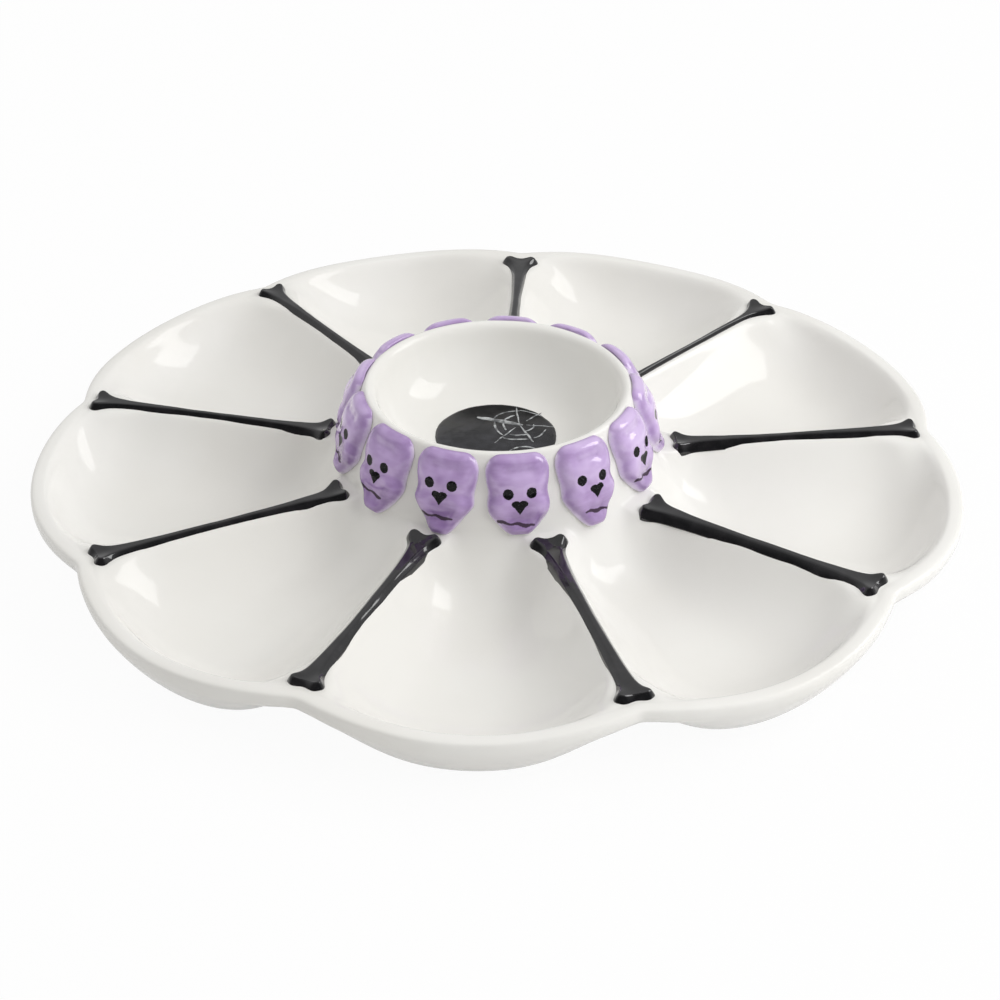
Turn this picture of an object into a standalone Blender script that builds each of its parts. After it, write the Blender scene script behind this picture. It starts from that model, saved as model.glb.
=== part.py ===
"""Nine-lobed tapas plate with a raised dip bowl, bones along its ridges and skulls round the bowl.

Glazed earthenware, made up of the pieces a potter joins before firing. Metres, +Z up, the origin on
the table under the plate's axis. One ridge points to +Y, so one lobe faces the viewer at -Y.
"""
import math

import bmesh
import bpy
from mathutils import Matrix

# Dish: nine scooped lobes inside a scalloped lip
LOBES = 9
LOBE_ANGLE = 2 * math.pi / LOBES
FIRST_RIDGE = math.pi / 2
TIP_RADIUS = 0.1612
LOBE_ARC = 0.0885
LIP_WIDTH = 0.0058
CREST_HEIGHT = 0.0252
SCOOP_DEPTH = 0.0187
SHELL_DEPTH = 0.0050
LIP_DIP = 0.0022
DIP_START = 0.100
DIP_END = 0.150
FOOT_SINK = 0.0208
INNER_STEEPNESS = 4.5
OUTER_STEEPNESS = 5.0
SCOOP_ROUNDNESS = 2.9
UNDER_ROUNDNESS = 3.4
CREST_MARGIN = 0.0004
GROOVE_NARROWING = 0.0024
GROOVE_LEAST = 0.0008

# Collar of the dish, on which the dip bowl stands
COLLAR_OUTER = 0.05495
COLLAR_INNER = 0.0500
COLLAR_HEIGHT = 0.0270
COLLAR_FALL = 0.0110

# Dip bowl: the wall leans in, the well is shallow and hollow underneath
MOUTH_RADIUS = 0.0418
MOUTH_HEIGHT = 0.0508
CREST_RADIUS = 0.0447
BOWL_HEIGHT = 0.0531
WALL_TOP_RADIUS = 0.0463
WALL_TOP_HEIGHT = 0.0520
WALL_FOOT_RADIUS = 0.05487
WALL_FOOT_HEIGHT = 0.0273
WELL_FLOOR_RADIUS = 0.0222
WELL_FLOOR_HEIGHT = 0.0320
WELL_SWEEP = math.radians(75)
WELL_STEPS = 6
BOWL_WALL = 0.0050
SPIGOT_OUTER = 0.0496
SPIGOT_INNER = 0.0464
SPIGOT_FOOT = 0.0235
BOWL_SIDES = 52

# Black disc of colour on the well's floor
DISC_RADIUS = 0.0214
DISC_THICKNESS = 0.0006

# Bones: straight reliefs with two round knobs at each end
BONE_INNER = 0.0585
BONE_OUTER = 0.1490
SHAFT_HALF_WIDTH = 0.0021
KNOB_RADIUS = 0.0026
KNOB_SPREAD = 0.0039
NOTCH_DEPTH = 0.0022
SHAFT_HEIGHT = 0.0014
KNOB_HEIGHT = 0.0026
FLARE_START = 0.0030
FLARE_END = 0.0160

# Skulls: reliefs wrapped on the bowl's leaning wall, measured down the wall from its top
SKULLS = 13
FIRST_SKULL = math.radians(281.3)
SKULL_TOP = -0.0016
SKULL_LENGTH = 0.0277
SKULL_HALF_WIDTH = 0.0108
SKULL_RELIEF = 0.0050
SOCKET_DOWN = 0.0111
SOCKET_APART = 0.0036
SOCKET_RADIUS = 0.0020
NOSE_DOWN = 0.0155
NOSE_RADIUS = 0.0013

# Gap kept between pieces that touch
SEAT_GAP = 0.0003

# Stations from the crown to the chin: share of the length, of the half width and of the relief
SKULL_STATIONS = (
    (0.00, 0.60, 0.22),
    (0.04, 0.83, 0.60),
    (0.10, 0.95, 0.87),
    (0.20, 1.00, 1.00),
    (0.36, 0.97, 1.00),
    (0.45, 0.84, 0.96),
    (0.53, 0.92, 0.95),
    (0.62, 0.98, 0.93),
    (0.72, 0.88, 0.87),
    (0.80, 0.66, 0.80),
    (0.90, 0.54, 0.70),
    (1.00, 0.24, 0.36),
)
# Half section of a relief: share of the half width and of the height, from the edge to the middle
SKULL_SECTION = ((1.0, 0.0), (0.99, 0.50), (0.82, 0.86), (0.38, 1.0))
COLUMN_SHARES = (0.0, 0.28, 0.55, 0.78, 0.93, 1.0)
TOP_REACHES = (0.03, 0.08, 0.16, 0.28, 0.46, 0.64, 0.79, 0.90, 0.965)
UNDER_REACHES = (0.97, 0.91, 0.83, 0.72, 0.50, 0.28, 0.15, 0.07)


def smooth_step(value):
    """Rise from 0 to 1 with flat ends."""
    value = min(1.0, max(0.0, value))
    return value * value * (3 - 2 * value)


def bone_flare(radius):
    """How far a bone has swollen towards its knobs at a distance from the plate's axis."""
    from_end = min(radius - BONE_INNER, BONE_OUTER - radius)
    still_to_go = (FLARE_END - from_end) / (FLARE_END - FLARE_START)
    return min(1.0, max(0.0, still_to_go)) ** 2


def bone_half_width(radius):
    """Plan half width of a bone, its round ends left square."""
    knob_half_width = KNOB_SPREAD + KNOB_RADIUS
    return SHAFT_HALF_WIDTH + (knob_half_width - SHAFT_HALF_WIDTH) * bone_flare(radius)


def ridge_half_width(radius):
    """Half width of the flat ridge top that carries a bone."""
    return bone_half_width(radius) + CREST_MARGIN


def groove_half_width(radius):
    """Half width of the hollow under a ridge, inside the shell's thickness."""
    return max(GROOVE_LEAST, ridge_half_width(radius) - GROOVE_NARROWING)


def lobe_edge(angle):
    """Plan radius of the scalloped lip at an angle from its lobe's own axis."""
    centre = TIP_RADIUS - LOBE_ARC
    return centre * math.cos(angle) + math.sqrt(LOBE_ARC**2 - (centre * math.sin(angle)) ** 2)


def scoop(reach, across, roundness):
    """Depth share of a lobe's hollow: round across, flat along its middle, steep at both ends."""
    along = 2 * reach - 1
    power = INNER_STEEPNESS if along < 0 else OUTER_STEEPNESS
    return (1 - abs(along) ** power) * (1 - abs(across) ** roundness)


def crest_height(radius):
    """Height of the ridge tops, which climb a little to the bowl."""
    fall = smooth_step((radius - COLLAR_OUTER) / COLLAR_FALL)
    return COLLAR_HEIGHT + (CREST_HEIGHT - COLLAR_HEIGHT) * fall


def lip_dip(angle, radius):
    """How far the lip sinks between two ridges, at an angle from its lobe's own axis."""
    share = smooth_step((radius - DIP_START) / (DIP_END - DIP_START))
    return LIP_DIP * share * math.cos(math.pi * angle / LOBE_ANGLE) ** 2


def top_height(reach, across, radius):
    """Height of the dish's upper face."""
    return crest_height(radius) - SCOOP_DEPTH * scoop(reach, across, SCOOP_ROUNDNESS)


def under_height(reach, across, radius):
    """Height of the dish's underside, flattened where the lobes stand on the table."""
    sink = FOOT_SINK * scoop(reach, across, UNDER_ROUNDNESS)
    return max(0.0, CREST_HEIGHT - SHELL_DEPTH - sink)


def lobe_columns():
    """Shares across one lobe from ridge to ridge, and None for the middle of the ridge after it."""
    left_half = [-share for share in reversed(COLUMN_SHARES[1:])]
    return left_half + list(COLUMN_SHARES) + [None]


def dish_ring(mesh, start, lip_inset, reach, half_width, height):
    """Add one ring of points round the dish, between a start radius and the inset lip."""
    ring = []
    outermost = TIP_RADIUS - lip_inset
    nominal = start + reach * (outermost - start)
    ridge_angle = math.asin(half_width(nominal) / nominal)
    for lobe in range(LOBES):
        axis = FIRST_RIDGE + (lobe + 0.5) * LOBE_ANGLE
        for share in lobe_columns():
            across = 1.0 if share is None else share
            angle = LOBE_ANGLE / 2 if share is None else share * (LOBE_ANGLE / 2 - ridge_angle)
            radius = start + reach * (lobe_edge(angle) - lip_inset - start)
            turn = axis + angle
            level = max(0.0, height(reach, across, radius) - lip_dip(angle, radius))
            ring.append(mesh.verts.new((radius * math.cos(turn), radius * math.sin(turn), level)))
    return ring


def bridge_rings(mesh, rings, closed):
    """Join rings of equal count with quads, and the last to the first when closed."""
    pairs = list(zip(rings, rings[1:]))
    if closed:
        pairs.append((rings[-1], rings[0]))
    for first, second in pairs:
        count = len(first)
        for index in range(count):
            following = (index + 1) % count
            mesh.faces.new((first[index], first[following], second[following], second[index]))


def material(name, colour, roughness):
    """One plain glaze."""
    glaze = bpy.data.materials.new(name)
    glaze.use_nodes = True
    shader = glaze.node_tree.nodes["Principled BSDF"]
    shader.inputs["Base Color"].default_value = (*colour, 1.0)
    shader.inputs["Roughness"].default_value = roughness
    return glaze


def add_object(name, data, glaze):
    """Link one named piece with its own material."""
    piece = bpy.data.objects.new(name, data)
    bpy.context.scene.collection.objects.link(piece)
    if not data.materials:
        data.materials.append(glaze)
    return piece


def finish_mesh(mesh, name):
    """Turn the faces outwards and store the mesh."""
    bmesh.ops.recalc_face_normals(mesh, faces=mesh.faces[:])
    data = bpy.data.meshes.new(name)
    mesh.to_mesh(data)
    mesh.free()
    return data


def make_dish():
    """Shell of nine scoops: upper face, rolled lip, underside and collar, joined ring by ring."""
    mesh = bmesh.new()
    rings = [dish_ring(mesh, COLLAR_OUTER, LIP_WIDTH, 0.0, ridge_half_width, top_height)]
    for reach in TOP_REACHES:
        rings.append(dish_ring(mesh, COLLAR_OUTER, LIP_WIDTH, reach, ridge_half_width, top_height))
    lip_roll = ((0.92, 0.0003), (0.64, 0.0), (0.24, 0.0003), (0.06, 0.0011), (0.0, 0.0026))
    for inset, drop in lip_roll:
        level = CREST_HEIGHT - drop
        rings.append(
            dish_ring(mesh, 0.0, inset * LIP_WIDTH, 1.0, ridge_half_width, lambda *_: level)
        )
    for reach in (1.0, *UNDER_REACHES, 0.0):
        rings.append(dish_ring(mesh, COLLAR_INNER, 0.0002, reach, groove_half_width, under_height))
    rings.append(
        dish_ring(mesh, COLLAR_INNER, 0.0, 0.0, groove_half_width, lambda *_: COLLAR_HEIGHT)
    )
    bridge_rings(mesh, rings, closed=True)
    return finish_mesh(mesh, "dish")


def bowl_profile():
    """Closed half section of the dip bowl, from the well's middle over the crest and back below."""
    profile = [(0.0, WELL_FLOOR_HEIGHT)]
    underside = []
    reach = MOUTH_RADIUS - WELL_FLOOR_RADIUS
    rise = MOUTH_HEIGHT - WELL_FLOOR_HEIGHT
    for step in range(WELL_STEPS + 1):
        angle = WELL_SWEEP * step / WELL_STEPS
        out = WELL_FLOOR_RADIUS + reach * math.sin(angle) / math.sin(WELL_SWEEP)
        up = WELL_FLOOR_HEIGHT + rise * (1 - math.cos(angle)) / (1 - math.cos(WELL_SWEEP))
        profile.append((out, up))
        slope = math.atan2(rise * math.sin(angle), reach * math.cos(angle))
        if step <= WELL_STEPS - 2:
            underside.append((out + BOWL_WALL * math.sin(slope), up - BOWL_WALL * math.cos(slope)))
    profile.append(((MOUTH_RADIUS + CREST_RADIUS) / 2 - 0.0002, BOWL_HEIGHT - 0.0005))
    profile.append((CREST_RADIUS, BOWL_HEIGHT))
    profile.append((CREST_RADIUS + 0.0010, BOWL_HEIGHT - 0.0005))
    profile.append((WALL_TOP_RADIUS + 0.0002, WALL_TOP_HEIGHT - 0.0006))
    profile.append((WALL_FOOT_RADIUS, WALL_FOOT_HEIGHT))
    profile.append((SPIGOT_OUTER, WALL_FOOT_HEIGHT))
    profile.append((SPIGOT_OUTER, SPIGOT_FOOT))
    profile.append((SPIGOT_INNER, SPIGOT_FOOT))
    profile.append((SPIGOT_INNER, WELL_FLOOR_HEIGHT + 0.0030))
    profile.extend(reversed(underside))
    profile.append((0.0, WELL_FLOOR_HEIGHT - BOWL_WALL))
    return profile


def make_bowl():
    """Turn the bowl's half section once round the plate's axis."""
    mesh = bmesh.new()
    points = [mesh.verts.new((out, 0.0, up)) for out, up in bowl_profile()]
    edges = [mesh.edges.new(pair) for pair in zip(points, points[1:])]
    bmesh.ops.spin(
        mesh,
        geom=points + edges,
        cent=(0, 0, 0),
        axis=(0, 0, 1),
        angle=2 * math.pi,
        steps=BOWL_SIDES,
        use_merge=True,
    )
    bmesh.ops.remove_doubles(mesh, verts=mesh.verts[:], dist=0.00002)
    return finish_mesh(mesh, "dip_bowl")


def make_disc():
    """Thin round layer of colour on the well's floor."""
    mesh = bmesh.new()
    level = WELL_FLOOR_HEIGHT + SEAT_GAP + DISC_THICKNESS / 2
    bmesh.ops.create_cone(
        mesh,
        cap_ends=True,
        segments=36,
        radius1=DISC_RADIUS,
        radius2=DISC_RADIUS,
        depth=DISC_THICKNESS,
        matrix=Matrix.Translation((0, 0, level)),
    )
    return finish_mesh(mesh, "well_disc")


def bone_outline():
    """One long side of a bone in plan, from the notch at its inner end to that at its outer end."""
    end = [(NOTCH_DEPTH, 0.0)]
    for degrees in (-60, -20, 25, 70, 112):
        angle = math.radians(degrees)
        from_end = KNOB_RADIUS - KNOB_RADIUS * math.cos(angle)
        end.append((from_end, KNOB_SPREAD + KNOB_RADIUS * math.sin(angle)))
    for from_end in (0.0062, 0.0095, 0.0150):
        end.append((from_end, bone_half_width(BONE_INNER + from_end)))
    inner = [(BONE_INNER + from_end, side) for from_end, side in end]
    outer = [(BONE_OUTER - from_end, side) for from_end, side in reversed(end)]
    return inner + outer


def make_bone():
    """Loft a low bone from its outline: short sides, a rounded shoulder and a flat crown."""
    mesh = bmesh.new()
    middle = (BONE_INNER + BONE_OUTER) / 2
    outline = bone_outline()
    levels = ((0.0, 1.0, 0.0), (0.40, 0.96, 0.0), (0.84, 0.76, 0.0003), (1.0, 0.48, 0.0008))
    rings = []
    for share, narrowing, pull in levels:
        left = []
        right = []
        for out, side in outline:
            swell = bone_flare(out)
            height = SHAFT_HEIGHT + (KNOB_HEIGHT - SHAFT_HEIGHT) * swell
            along = out + math.copysign(pull * swell, middle - out)
            level = crest_height(out) + SEAT_GAP + share * height
            left.append(mesh.verts.new((along, side * narrowing, level)))
            if side > 0.0001:
                right.append(mesh.verts.new((along, -side * narrowing, level)))
        rings.append((left, right))
    loops = [left + right[::-1] for left, right in rings]
    bridge_rings(mesh, loops, closed=False)
    caps = [mesh.faces.new(loops[0]), mesh.faces.new(loops[-1])]
    bmesh.ops.triangulate(mesh, faces=caps)
    return finish_mesh(mesh, "bone")


def wall_place(across, down, off):
    """Point on the bowl's wall: across its face, down from its top, and off its surface."""
    lean = math.atan2(WALL_FOOT_RADIUS - WALL_TOP_RADIUS, WALL_TOP_HEIGHT - WALL_FOOT_HEIGHT)
    wall_radius = WALL_TOP_RADIUS + down * math.sin(lean)
    radius = wall_radius + off * math.cos(lean)
    level = WALL_TOP_HEIGHT - down * math.cos(lean) + off * math.sin(lean)
    turn = across / wall_radius
    return (radius * math.cos(turn), radius * math.sin(turn), level)


def make_skull():
    """Loft a skull from crown to chin, wrap it on the wall, and sink its sockets and nose."""
    mesh = bmesh.new()
    right = [(share, rise) for share, rise in SKULL_SECTION]
    left = [(-share, rise) for share, rise in reversed(SKULL_SECTION)]
    back = [(-0.5, 0.0), (0.0, 0.0), (0.5, 0.0)]
    rings = []
    for length_share, width_share, relief_share in SKULL_STATIONS:
        down = SKULL_TOP + length_share * SKULL_LENGTH
        half = width_share * SKULL_HALF_WIDTH
        ring = []
        for share, rise in right + left + back:
            off = SEAT_GAP + rise * relief_share * SKULL_RELIEF
            ring.append(mesh.verts.new(wall_place(share * half, down, off)))
        rings.append(ring)
    bridge_rings(mesh, rings, closed=False)
    for ring in (rings[0], rings[-1]):
        mesh.faces.new(ring)
    solid = add_object("skull_blank", finish_mesh(mesh, "skull_blank"), None)

    cutter = bmesh.new()
    hollows = ((SOCKET_APART, SOCKET_DOWN, SOCKET_RADIUS),)
    hollows += ((-SOCKET_APART, SOCKET_DOWN, SOCKET_RADIUS), (0.0, NOSE_DOWN, NOSE_RADIUS))
    for across, down, radius in hollows:
        place = wall_place(across, down, SEAT_GAP + SKULL_RELIEF)
        bmesh.ops.create_icosphere(
            cutter, subdivisions=1, radius=radius, matrix=Matrix.Translation(place)
        )
    hollow_tool = add_object("skull_hollows", finish_mesh(cutter, "skull_hollows"), None)
    hollow_tool.hide_render = True
    hollow_tool.display_type = "WIRE"
    cut = solid.modifiers.new("hollows", "BOOLEAN")
    cut.operation = "DIFFERENCE"
    cut.solver = "EXACT"
    cut.object = hollow_tool
    depsgraph = bpy.context.evaluated_depsgraph_get()
    carved = bpy.data.meshes.new_from_object(solid.evaluated_get(depsgraph))
    carved.name = "skull"
    bpy.data.objects.remove(solid)
    bpy.data.objects.remove(hollow_tool)
    return carved


def build():
    """Clear the scene and place every piece."""
    for piece in list(bpy.data.objects):
        bpy.data.objects.remove(piece)
    white_glaze = material("white_glaze", (0.86, 0.85, 0.82), 0.12)
    bone_glaze = material("bone_black_glaze", (0.012, 0.012, 0.014), 0.10)
    skull_glaze = material("skull_lilac_glaze", (0.36, 0.27, 0.60), 0.15)
    disc_glaze = material("disc_black_glaze", (0.015, 0.014, 0.016), 0.12)

    add_object("dish", make_dish(), white_glaze)
    add_object("dip_bowl", make_bowl(), white_glaze)
    add_object("well_disc", make_disc(), disc_glaze)
    bone_mesh = make_bone()
    for number in range(LOBES):
        bone = add_object(f"bone_{number + 1}", bone_mesh, bone_glaze)
        bone.rotation_euler[2] = FIRST_RIDGE + number * LOBE_ANGLE
    skull_mesh = make_skull()
    skull_mesh.materials.clear()
    for number in range(SKULLS):
        skull = add_object(f"skull_{number + 1}", skull_mesh, skull_glaze)
        skull.rotation_euler[2] = FIRST_SKULL + number * 2 * math.pi / SKULLS


build()
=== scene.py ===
# %% [markdown]
# # A tapas plate with a dip bowl, bones and skulls
#
# The real plate is glazed earthenware, cast in a plaster mould: nine scooped lobes for finger food
# round a raised bowl for a dip. Bones run along the ridges between the lobes and skulls stand round
# the bowl. They come out of the mould with the plate, get their colour from a brush, and then one
# clear glaze goes over everything.
#
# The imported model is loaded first. It gives the true place and size of every piece, so whatever is
# modelled below is drawn straight at its place, in metres, with the plate's axis on Z.

import math

import bmesh
import bpy
import numpy as np
from mathutils import Matrix, Vector, noise


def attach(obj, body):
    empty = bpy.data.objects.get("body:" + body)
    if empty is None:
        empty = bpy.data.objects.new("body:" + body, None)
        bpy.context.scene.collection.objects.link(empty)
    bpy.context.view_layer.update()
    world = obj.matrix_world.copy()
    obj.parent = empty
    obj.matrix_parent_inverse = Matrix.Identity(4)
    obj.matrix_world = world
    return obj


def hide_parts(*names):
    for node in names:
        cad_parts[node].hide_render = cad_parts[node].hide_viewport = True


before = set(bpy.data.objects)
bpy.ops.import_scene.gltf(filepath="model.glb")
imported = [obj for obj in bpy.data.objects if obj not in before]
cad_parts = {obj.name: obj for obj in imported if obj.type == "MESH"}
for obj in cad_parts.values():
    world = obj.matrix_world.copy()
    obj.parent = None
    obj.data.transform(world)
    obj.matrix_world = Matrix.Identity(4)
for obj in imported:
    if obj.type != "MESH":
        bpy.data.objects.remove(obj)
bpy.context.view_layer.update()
print("packed pieces", len(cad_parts))

# %% [markdown]
# ## Working by hand, in code
#
# Blender's operators act on what is selected, so each step below does what a modeller does with the
# mouse: deselect everything, open one piece, pick points or faces by where they lie, and then
# extrude, scale or move them. These few helpers keep those steps short.


# %% Helpers for picking
def put_all_down():
    """Leave edit mode and deselect every object."""
    if bpy.context.mode != "OBJECT":
        bpy.ops.object.mode_set(mode="OBJECT")
    bpy.ops.object.select_all(action="DESELECT")


def open_piece(piece):
    """Open one piece in edit mode, alone."""
    put_all_down()
    bpy.context.view_layer.objects.active = piece
    piece.select_set(True)
    bpy.ops.object.mode_set(mode="EDIT")


def pick(kind, test):
    """Select the points, edges or faces of the open piece that pass a test of their place."""
    bpy.ops.mesh.select_mode(type=kind)
    bpy.ops.mesh.select_all(action="DESELECT")
    shape = bmesh.from_edit_mesh(bpy.context.object.data)
    items = {"VERT": shape.verts, "EDGE": shape.edges, "FACE": shape.faces}[kind]
    chosen = [item for item in items if test(item)]
    for item in chosen:
        item.select_set(True)
    shape.select_flush_mode()
    bmesh.update_edit_mesh(bpy.context.object.data)
    return len(chosen)


def middle(item):
    """Middle of an edge or a face."""
    return sum((point.co for point in item.verts), Vector()) / len(item.verts)


print("picking helpers ready")


# %% Helpers for modelling and finishing
def extrude(move, widen=(1, 1, 1), about=(0, 0, 0)):
    """Extrude what is picked, then scale the new end about a point."""
    bpy.ops.mesh.extrude_region_move(TRANSFORM_OT_translate={"value": move})
    bpy.ops.transform.resize(value=widen, center_override=about)


def apply_modifier(piece, kind, **settings):
    """Add one modifier, set it and apply it."""
    put_all_down()
    bpy.context.view_layer.objects.active = piece
    piece.select_set(True)
    modifier = piece.modifiers.new(kind.lower(), kind)
    for name, value in settings.items():
        setattr(modifier, name, value)
    bpy.ops.object.modifier_apply(modifier=modifier.name)


def smooth_shade(piece):
    """Shade a finished piece smooth."""
    put_all_down()
    bpy.context.view_layer.objects.active = piece
    piece.select_set(True)
    bpy.ops.object.shade_smooth()


def ripple(piece, size, height, seed):
    """Move points in and out a little, as plaster moulds and a thick glaze leave them."""
    shift = Vector((seed * 7.3, seed * 3.1, seed * 5.7))
    normals = [point.normal.copy() for point in piece.data.vertices]
    for point, normal in zip(piece.data.vertices, normals):
        point.co += normal * height * noise.noise(point.co / size + shift)


def triangles(piece):
    """Count a piece's triangles."""
    return sum(len(face.vertices) - 2 for face in piece.data.polygons)


print("modelling helpers ready")

# %% [markdown]
# ## The glazed body
#
# Dish and bowl are one shell on the fired plate, with no seam between them. A potter's section is
# the way in: follow the surface from the middle of the well, over the bowl's rim, down its wall,
# through a scoop, over the lip and back underneath. Spinning that line alone would give a round
# plate, so one whole lobe, from ridge to ridge, is drawn as a grid first. The height of a scoop is
# round across and flat along its middle, and steep at both ends. The lip is an arc with its centre
# on the lobe's own axis.

# %% Sizes of the body
LOBES = 9
LOBE_ANGLE = math.tau / LOBES
FIRST_RIDGE = math.pi / 2
TIP_RADIUS = 0.1611
LOBE_ARC = 0.0885
LIP_WIDTH = 0.0058
CREST_HEIGHT = 0.0252
SCOOP_DEPTH = 0.0187
SHELL_DEPTH = 0.0050
LIP_DIP = 0.0022
DIP_START = 0.100
DIP_END = 0.150
FOOT_SINK = 0.0208
INNER_STEEPNESS = 4.5
OUTER_STEEPNESS = 5.0
SCOOP_ROUNDNESS = 2.9
UNDER_ROUNDNESS = 3.4
COLLAR_OUTER = 0.05495
COLLAR_INNER = 0.0500
COLLAR_RISE = 0.0018
COLLAR_FALL = 0.0110
MOUTH_RADIUS = 0.0418
MOUTH_HEIGHT = 0.0508
CREST_RADIUS = 0.0447
BOWL_HEIGHT = 0.0531
WALL_TOP_RADIUS = 0.0463
WALL_TOP_HEIGHT = 0.0520
WALL_FOOT_RADIUS = 0.05487
WALL_FOOT_HEIGHT = 0.0273
WELL_FLOOR_RADIUS = 0.0222
WELL_FLOOR_HEIGHT = 0.0320
WELL_SWEEP = math.radians(75)
BOWL_WALL = 0.0050
SPIGOT_INNER = 0.0464
BONE_INNER = 0.0585
BONE_OUTER = 0.1490
SHAFT_HALF_WIDTH = 0.0021
KNOB_HALF_WIDTH = 0.0065
FLARE_END = 0.016
FLARE_LENGTH = 0.013
RIDGE_MARGIN = 0.0004
GROOVE_LEAST = 0.0008
GROOVE_NARROWING = 0.0024
UNDER_INSET = 0.0002
print("plate about", round(2 * TIP_RADIUS, 3), "across and", BOWL_HEIGHT, "high")


# %% Curves of the body

def ease(value):
    """Rise from 0 to 1 with flat ends."""
    value = min(1.0, max(0.0, value))
    return value * value * (3 - 2 * value)


def ridge_half_width(radius):
    """Half width of the ridge top: a bone, widening to its knobs, and a narrow margin."""
    from_end = min(radius - BONE_INNER, BONE_OUTER - radius)
    flare = min(1.0, max(0.0, (FLARE_END - from_end) / FLARE_LENGTH)) ** 2
    return SHAFT_HALF_WIDTH + (KNOB_HALF_WIDTH - SHAFT_HALF_WIDTH) * flare + RIDGE_MARGIN


def groove_half_width(radius):
    """Half width of the hollow below a ridge."""
    return max(GROOVE_LEAST, ridge_half_width(radius) - GROOVE_NARROWING)


def lobe_edge(angle):
    """Radius of the lip at an angle from its lobe's axis."""
    centre = TIP_RADIUS - LOBE_ARC
    return centre * math.cos(angle) + math.sqrt(LOBE_ARC**2 - (centre * math.sin(angle)) ** 2)


def scoop(reach, across, roundness):
    """Depth share of a lobe's hollow."""
    along = 2 * reach - 1
    power = INNER_STEEPNESS if along < 0 else OUTER_STEEPNESS
    return (1 - abs(along) ** power) * (1 - min(1.0, abs(across)) ** roundness)


def lip_dip(radius, angle):
    """How far the lip sinks between two ridges."""
    share = ease((radius - DIP_START) / (DIP_END - DIP_START))
    return LIP_DIP * share * math.cos(math.pi * angle / LOBE_ANGLE) ** 2


print("lip radius at a tip and at a ridge", lobe_edge(0), round(lobe_edge(LOBE_ANGLE / 2), 4))

# %% [markdown]
# The grid's columns run from the middle of one ridge to the middle of the next: a share of 1 is a
# ridge's edge and 2 is its middle. The grid's rows follow the potter's section, turned rows on the
# bowl and scooped rows in the dish.

# %% Columns of one lobe
HALF_COLUMNS = (0.1, 0.2, 0.3, 0.4, 0.5, 0.6, 0.7, 0.79, 0.87, 0.94, 1.0, 1.5, 2.0)
COLUMNS = [-share for share in reversed(HALF_COLUMNS)] + [0.0] + list(HALF_COLUMNS)


def column_angle(share, radius, half_width):
    """Angle of a column from its lobe's axis."""
    radius = max(radius, COLLAR_OUTER)
    ridge = math.asin(half_width(radius) / radius)
    inside = min(abs(share), 1.0) * (LOBE_ANGLE / 2 - ridge)
    over = max(abs(share) - 1.0, 0.0) * ridge
    return math.copysign(inside + over, share)


print("columns", len(COLUMNS))


# %% Kinds of rows
def turned_row(radius, level):
    """Row of the round bowl."""

    def place(share):
        return radius, column_angle(share, radius, ridge_half_width), level

    return place


def crest_height(radius):
    """Height of the ridge tops, which climb a little to the bowl."""
    return CREST_HEIGHT + COLLAR_RISE * (1 - ease((radius - COLLAR_OUTER) / COLLAR_FALL))


def top_row(reach):
    """Row of the scoops' upper face."""
    nominal = COLLAR_OUTER + reach * (TIP_RADIUS - LIP_WIDTH - COLLAR_OUTER)

    def place(share):
        angle = column_angle(share, nominal, ridge_half_width)
        radius = COLLAR_OUTER + reach * (lobe_edge(angle) - LIP_WIDTH - COLLAR_OUTER)
        depth = SCOOP_DEPTH * scoop(reach, share, SCOOP_ROUNDNESS)
        return radius, angle, crest_height(radius) - depth - lip_dip(radius, angle)

    return place


def lip_row(inset, drop):
    """Row of the rolled lip."""

    def place(share):
        angle = column_angle(share, TIP_RADIUS, ridge_half_width)
        radius = lobe_edge(angle) - inset * LIP_WIDTH
        return radius, angle, CREST_HEIGHT - drop - lip_dip(radius, angle)

    return place


def under_row(reach):
    """Row of the underside, flattened where a lobe stands on the table."""
    nominal = COLLAR_INNER + reach * (TIP_RADIUS - COLLAR_INNER)

    def place(share):
        angle = column_angle(share, nominal, groove_half_width)
        radius = COLLAR_INNER + reach * (lobe_edge(angle) - UNDER_INSET - COLLAR_INNER)
        depth = FOOT_SINK * scoop(reach, share, UNDER_ROUNDNESS) + lip_dip(radius, angle)
        return radius, angle, max(0.0, CREST_HEIGHT - SHELL_DEPTH - depth)

    return place


def well_point(sweep, off):
    """Radius and height on the well's curved wall, off its surface by a thickness."""
    reach = MOUTH_RADIUS - WELL_FLOOR_RADIUS
    rise = MOUTH_HEIGHT - WELL_FLOOR_HEIGHT
    out = WELL_FLOOR_RADIUS + reach * math.sin(sweep) / math.sin(WELL_SWEEP)
    up = WELL_FLOOR_HEIGHT + rise * (1 - math.cos(sweep)) / (1 - math.cos(WELL_SWEEP))
    slope = math.atan2(rise * math.sin(sweep), reach * math.cos(sweep))
    return out + off * math.sin(slope), up - off * math.cos(slope)


print("well from", well_point(0.0, 0.0), "to", well_point(WELL_SWEEP, 0.0))

# %% All rows of the closed section, from the well's middle round to the middle below it
FLOOR_SHARES = (0, 0.3, 0.6, 0.85)
WELL_STEPS = 11
# Rounded rim of the bowl: in from the crest, and down from it
RIM = ((0.0021, 0.0010), (0.0011, 0.0003), (0.0, 0.0), (-0.0009, 0.0003))
WALL_SHARES = (0.0, 0.06, 0.2, 0.4, 0.6, 0.8, 0.93, 1.0)
SCOOP_REACHES = (
    *(0.008, 0.022, 0.042, 0.068, 0.10, 0.14, 0.19, 0.25, 0.32, 0.40, 0.50),
    *(0.60, 0.68, 0.75, 0.81, 0.86, 0.90, 0.93, 0.955, 0.975, 0.99),
)
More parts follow.
